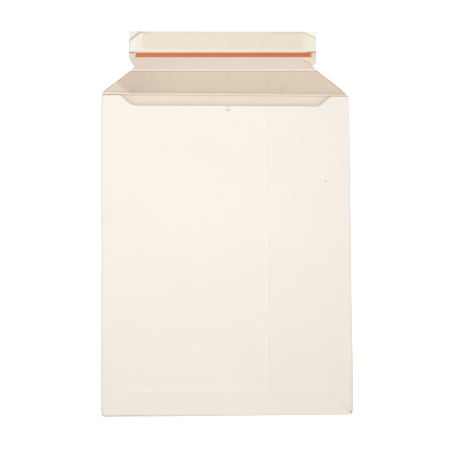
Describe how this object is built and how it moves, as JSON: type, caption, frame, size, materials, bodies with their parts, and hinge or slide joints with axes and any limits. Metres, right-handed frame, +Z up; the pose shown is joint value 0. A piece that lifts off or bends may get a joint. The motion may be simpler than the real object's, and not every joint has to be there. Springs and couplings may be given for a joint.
{
  "type": "cardboard envelope",
  "caption": "Flat board mailing envelope with a peel-and-seal closing flap, a tear strip, a notched mouth and glued side and bottom seams, lying open on its back.",
  "frame": {"origin": "centre of the underside of the closed body, in the plane that the envelope lies on", "axes": "+Z up, out of the front panel; +Y from the bottom fold towards the closing flap; +X towards the seamed side, to the right as seen from above"},
  "size_m": [0.25, 0.3797, 0.0285],
  "materials": {
    "board": "matte",
    "tear_tape": "satin",
    "adhesive": "satin",
    "liner": "satin",
    "glue": "matte"
  },
  "bodies": {
    "root": {"board_blank": "board", "tear_tape": "tear_tape", "flap_adhesive": "adhesive", "release_liner": "liner", "side_seam_glue": "glue", "bottom_flap_glue": "glue"}
  },
  "joints": []
}
